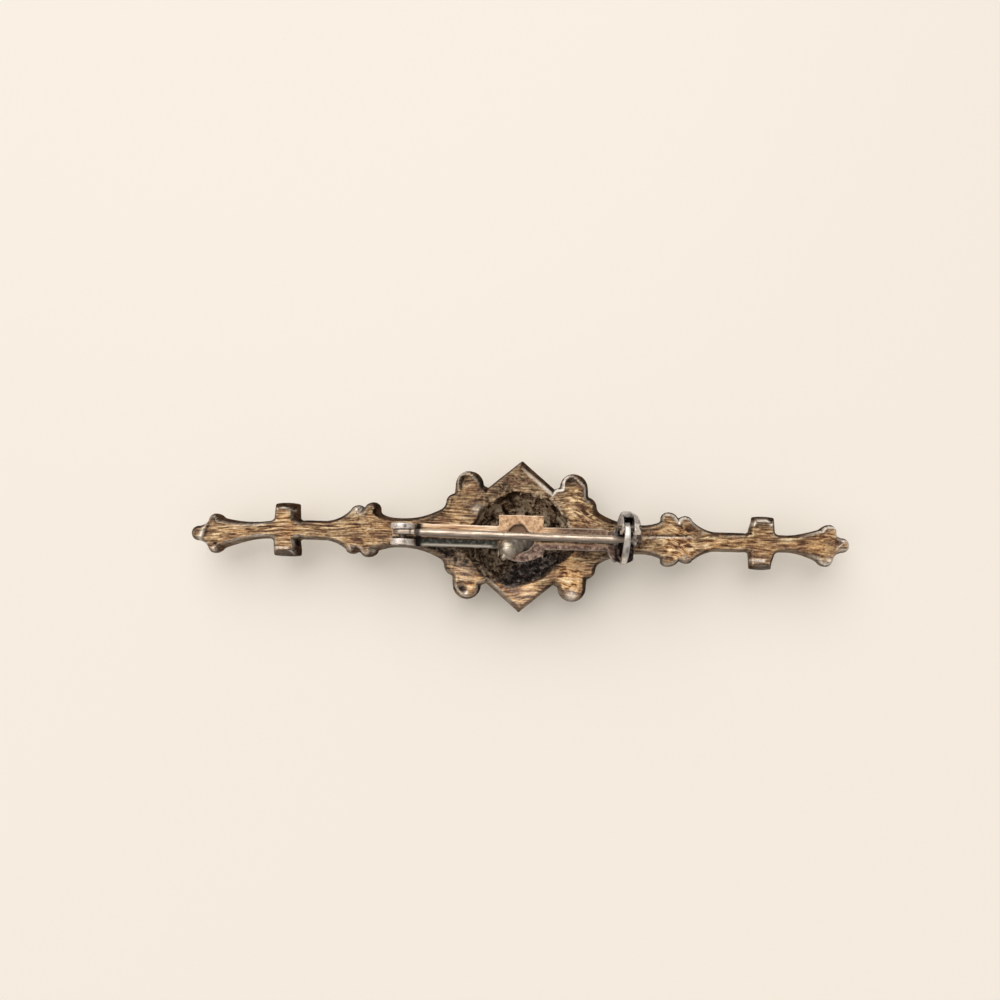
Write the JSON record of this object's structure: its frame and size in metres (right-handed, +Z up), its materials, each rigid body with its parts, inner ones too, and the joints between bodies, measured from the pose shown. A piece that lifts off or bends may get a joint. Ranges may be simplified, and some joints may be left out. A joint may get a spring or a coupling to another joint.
{
  "type": "bar brooch",
  "caption": "Long silver bar brooch lying face down: bevelled casting with a domed centre, backing strip, hinged pin and a safety catch with a riveted lever.",
  "frame": {"origin": "centre of the box's underside, in the plane of the surface that the brooch lies on", "axes": "+X along the bar towards the catch, +Y across the bar away from the viewer of the picture, +Z up, out of the brooch's back"},
  "size_m": [0.0698, 0.0162, 0.0106],
  "materials": {
    "patinated_silver": "file-marked silver with a golden-brown patina and bright worn edges",
    "grey_silver": "dull grey silver",
    "brassy_silver": "warm peach-coloured silver, tarnished in the corners",
    "bright_silver": "polished silver wire with a slight grey tarnish"
  },
  "bodies": {
    "brooch": {"bar_casting": "patinated_silver", "centre_rivet": "grey_silver", "backing_strip": "brassy_silver", "hinge_rivet": "grey_silver", "catch_rivet": "grey_silver"},
    "pin": {"pin_stem": "bright_silver"},
    "lever": {"catch_lever": "bright_silver"}
  },
  "joints": [
    {"name": "pin_hinge", "type": "hinge", "parent": "brooch", "child": "pin", "pos_m": [-0.0122, -0.0002, 0.00713], "axis": [0, -1, 0], "range_deg": [0, 110]},
    {"name": "lever_pivot", "type": "hinge", "parent": "brooch", "child": "lever", "pos_m": [0.0108, 0.00095, 0.00958], "axis": [-1, 0, 0], "range_deg": [0, 125]}
  ]
}
